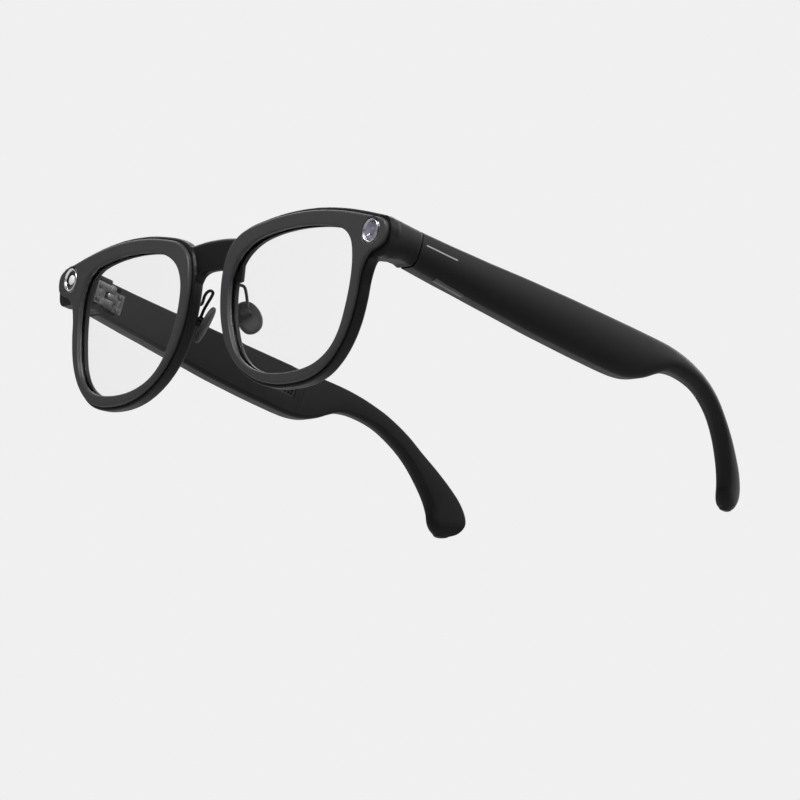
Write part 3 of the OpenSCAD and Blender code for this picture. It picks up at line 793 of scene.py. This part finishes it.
# Button: side view of its key, which slopes like the temple's lower edge, and the flange that keeps it in
KEY = ((21.3, -4.65), (31.2, -4.65), (31.2, -6.2), (21.3, -5.75))
KEY_X = (71.6, 73.4)
KEY_FLANGE = (71.2, 73.7, 20.8, 31.7, -4.66, -4.26)


def temple_section(top, low):
    """One ring of a temple between matched points of its top and its lower edge."""
    height = float(np.linalg.norm(top - low))
    mid = (top + low) / 2
    up = (top - low) / height
    y = float(mid[0])
    width = outer_x(y) - inner_x(y)
    rounder = 1 + ROUNDER_BY * min(max((y - ROUNDER_FROM) / ROUNDER_OVER, 0), 1)
    radii = [min(r * rounder, height * MOST_OF_HEIGHT, width * MOST_OF_WIDTH) for r in TEMPLE_CORNERS]
    ring = []
    for x, z in rounded_section(width, height, radii):
        p = mid + up * z
        x -= belly(x, z, width, height)
        back = float(p[0])
        inner, outer = inner_x(back), outer_x(back)
        share = (x + width / 2) / width
        ring.append((inner + share * (outer - inner), back, float(p[1])))
    return ring


def round_tip(rings):
    """Narrows the last sections across the temple and closes the tip with a few shrinking ones."""
    for k in range(1, TIP_RINGS + 1):
        i = len(rings) - 1 - TIP_RINGS + k
        c = np.array(rings[i]).mean(0)
        f = math.sqrt(1 - TIP_NARROW * (k / TIP_RINGS) ** 2)
        rings[i] = [(c[0] + (x - c[0]) * f, y, z) for x, y, z in rings[i]]
    last = np.array(rings[-1])
    c = last.mean(0)
    step = c - np.array(rings[-2]).mean(0)
    step = step / np.linalg.norm(step)
    for k in range(1, TIP_CLOSING):
        t = math.pi / 2 * k / TIP_CLOSING
        rings.append([tuple(c + (p - c) * math.cos(t) + step * TIP_REACH * math.sin(t)) for p in last])
    return rings


def temple_body(name, side):
    """The full outer form of a temple, with nothing cut out of it."""
    tops = open_curve([p[0] for p in TOP_LOW], TEMPLE_STEPS)
    lows = open_curve([p[1] for p in TOP_LOW], TEMPLE_STEPS)
    rings = [temple_section(top, low) for top, low in zip(tops, lows)]
    return loft(name, round_tip(rings), temple_m(side))


def cover_prism(name, depth, side, extra=0.0):
    """The room of the inner cover: its outline from the side, grown by extra, up to depth under the skin."""
    ys, tops, lows = zip(*COVER_SIDE)
    length = ys[-1] - ys[0] + 2 * extra
    rings = []
    for k in range(COVER_STEPS + 1):
        y = ys[0] - extra + length * k / COVER_STEPS
        top, low = between(y, ys, tops) + extra, between(y, ys, lows) - extra
        x = between(y, *zip(*INNER_LINE)) + depth
        rings.append([(INSIDE_X, y, low), (x, y, low), (x, y, top), (INSIDE_X, y, top)])
    return loft(name, rings, temple_m(side))


def cavity_prism(side):
    """The room for the cell, the board and the speaker."""
    rings = []
    for y in np.linspace(CAVITY_TOP[0][0], CAVITY_TOP[-1][0], CAVITY_STEPS):
        top, low, x = (between(y, *zip(*line)) for line in (CAVITY_TOP, CAVITY_LOW, CAVITY_WALL))
        rings.append([(CAVITY_INNER_X, y, low), (x, y, low), (x, y, top), (CAVITY_INNER_X, y, top)])
    return loft("cavity", rings, temple_m(side))


def temple_shell(side, word):
    m = temple_m(side)
    o = temple_body(word + "_temple_body", side)
    first = [cover_prism("seat", COVER_ROOM, side, GAP), block("gap_box", HINGE_GAP, m)]
    if side > 0:
        first.append(prism("groove", GROOVE, *GROOVE_Z, m, "up"))
        first.append(block("button_slot", BUTTON_SLOT, m))
    o = cut(o, join(first, "cutters"))
    second = [cavity_prism(side), block("leaf", LEAF_SEAT, m)]
    if side > 0:
        second.append(block("button_room", BUTTON_ROOM, m))
    o = cut(o, join(second, "cutters"))
    finish_piece(o, word + "_temple", "frame_black", word + "_temple_shell", angle=36)


def temple_cover(side, word):
    m = temple_m(side)
    o = cut(temple_body(word + "_inner_cover", side), cover_prism("room", COVER_T, side), "INTERSECT")
    rooms = [block("speaker", SPEAKER_ROOM, m)]
    if side > 0:
        rooms.append(block("recess", CONTACT_RECESS, m))
    o = cut(o, join(rooms, "cutters"))
    if side > 0:
        holes = [prism("hole", round_points(y, CONTACT_Z, CONTACT_R, 32), INSIDE_X, OUTSIDE_X, m, "across")
                 for y in CONTACT_Y]
        o = cut(o, join(holes, "cutters"))
    finish_piece(o, word + "_temple", "frame_black", word + "_temple_cover", angle=36)


def light_line():
    """A strip cut out of the temple's own form, so that it lies flush in its groove."""
    o = cut(temple_body("light_strip", 1), prism("groove", STRIP, *STRIP_Z, temple_m(1), "up"), "INTERSECT")
    finish_piece(o, "left_temple", "bright_metal", "light_line", angle=40, mat="line_metal")


def function_button():
    m = temple_m(1)
    key = bevel(prism("key", KEY, *KEY_X, m, "across"), 0.3, segments=4)
    flange = bevel(block("flange", KEY_FLANGE, m), 0.08)
    o = join([key, flange], "button_key")
    finish_piece(o, "button", "button_plastic", "function_button", angle=40)


# ---------------------------------------------------------------- hardware kept from the frame
EDGE_BREAK = 0.07
SAME_POINT, FLAT_WITHIN = 2e-6, 1.5


def machined_copy(node, body, slot):
    """The same part with its small edges broken."""
    me = frame["nodes"][node].data.copy()
    o = add_object(node + "_part", me)
    bm = bmesh.new()
    bm.from_mesh(me)
    bmesh.ops.remove_doubles(bm, verts=bm.verts, dist=SAME_POINT)
    bmesh.ops.dissolve_limit(bm, angle_limit=rad(FLAT_WITHIN), verts=bm.verts, edges=bm.edges)
    bmesh.ops.recalc_face_normals(bm, faces=bm.faces)
    bm.to_mesh(me)
    bm.free()
    bevel(o, EDGE_BREAK, angle=40)
    finish_piece(o, body, slot, node)


main_frame()
round_windows()
for side, word in ((1, "left"), (-1, "right")):
    face_plate(side, word)
    lens(side, word)
    nose_pad(side, word)
    pad_arm(side, word)
    temple_shell(side, word)
    temple_cover(side, word)
light_line()
function_button()

SLOT_OF = {s["node"]: s["material_slot"] for s in frame["record"]["subparts"]}
for body, members in frame["record"]["behaviour"]["bodies"].items():
    for node in members:
        if not frame["nodes"][node].hide_render:
            machined_copy(node, body, SLOT_OF[node])

# ---------------------------------------------------------------- stage, in metres
FLOOR_Z, FLOOR_R, FLOOR_SIDES = -0.42, 3.0, 64
FLOOR_BEVEL, FLOOR_T = 0.01, 0.05
# Studio walls: elevations in degrees where the ground gives way to the plain wall, the wall to the bright
# band and the band to the ceiling, and over how many degrees each change takes place
WALL_LOW, WALL_MID, WALL_TOP = 0, 20, 42
FADE_LOW, FADE_MID, FADE_TOP = 7, 8, 15
GROUND, WALL, BAND, CEILING = 0.25, 0.871, 2.2, 0.1
# Strength of the walls ahead of the glasses, and the stretch along y where it comes down to that
AHEAD_STRENGTH, AHEAD_FULL, AHEAD_FROM = 0.3, -0.42, -0.05
# Camera: its place, the directions to its right and forward, and its lens, fitted to the photograph
CAM_AT = Vector((1.25857, -0.8828, -0.32748))
CAM_RIGHT = Vector((0.596519, 0.783822, 0.172591))
CAM_FORWARD = Vector((-0.799096, 0.559951, 0.218863))
CAM_LENS, CAM_SENSOR = 266.4, 36
LIGHT_TARGET = Vector((0, 0, 0.03))


def floor():
    """A pale table far under the glasses, since the photograph looks up at them."""
    rings = [[(x, y, FLOOR_Z - d) for x, y in round_points(0, 0, q, FLOOR_SIDES)]
             for q, d in ((FLOOR_R * 0.97, 0.0), (FLOOR_R, FLOOR_BEVEL), (FLOOR_R, FLOOR_T))]
    o = loft("floor", rings, None)
    m, nt, p = node_material("floor_paper")
    co = object_coord(nt)
    link(nt, mix_colour(nt, noise(nt, co, 3, 3), (0.66, 0.66, 0.66), (0.7, 0.7, 0.7)), p.inputs["Base Color"])
    link(nt, ramp(nt, noise(nt, co, 40, 2), 0.3, 0.7, 0.7, 0.85), p.inputs["Roughness"])
    o.data.materials.append(m)
    return o


def area_light(name, at, size, watts):
    """A square soft light that faces the glasses."""
    data = bpy.data.lights.new(name, "AREA")
    data.shape = "RECTANGLE"
    data.size = size
    data.size_y = size
    data.energy = watts
    o = add_object(name, data)
    o.location = at
    o.rotation_mode = "QUATERNION"
    o.rotation_quaternion = (LIGHT_TARGET - Vector(at)).to_track_quat("-Z", "Y")
    return o


def studio_walls():
    """A grey ground, plain pale walls with a bright band above and a dim ceiling. The walls ahead of the
    glasses are weaker, which keeps the lenses clear."""
    w = bpy.data.worlds.new("studio")
    w.use_nodes = True
    nt = w.node_tree
    bg = nt.nodes["Background"]
    sep = nt.nodes.new("ShaderNodeSeparateXYZ")
    link(nt, nt.nodes.new("ShaderNodeTexCoord").outputs["Generated"], sep.inputs["Vector"])
    cr = nt.nodes.new("ShaderNodeValToRGB")
    link(nt, ramp(nt, sep.outputs["Z"], -1, 1, 0, 1), cr.inputs["Fac"])
    stops = ((-90, GROUND), (WALL_LOW, GROUND), (WALL_LOW + FADE_LOW, WALL), (WALL_MID, WALL),
             (WALL_MID + FADE_MID, BAND), (WALL_TOP, BAND), (WALL_TOP + FADE_TOP, CEILING), (90, CEILING))
    el = cr.color_ramp.elements
    while len(el) < len(stops):
        el.new(0.5)
    for e, (angle, v) in zip(el, stops):
        e.position = 0.5 + 0.5 * math.sin(rad(angle))
        e.color = (v, v, v, 1)
    link(nt, ramp(nt, sep.outputs["Y"], AHEAD_FULL, AHEAD_FROM, AHEAD_STRENGTH, 1.0), bg.inputs["Strength"])
    link(nt, cr.outputs["Color"], bg.inputs["Color"])
    scene.world = w


def camera():
    data = bpy.data.cameras.new("camera")
    data.lens, data.sensor_width = CAM_LENS, CAM_SENSOR
    data.clip_start, data.clip_end = 0.1, 50
    o = add_object("camera", data)
    back = -CAM_FORWARD.normalized()
    right = (CAM_RIGHT - back * CAM_RIGHT.dot(back)).normalized()
    up = back.cross(right)
    o.rotation_mode = "QUATERNION"
    o.rotation_quaternion = Matrix((right, up, back)).transposed().to_quaternion()
    o.location = CAM_AT
    scene.camera = o


floor()
camera()
scene.view_settings.view_transform = "Standard"
studio_walls()
area_light("key_top", (0.35, 0.1, 0.75), size=0.5, watts=1.6)
area_light("front_top", (0.1, -0.2, 0.22), size=0.1, watts=0.75)
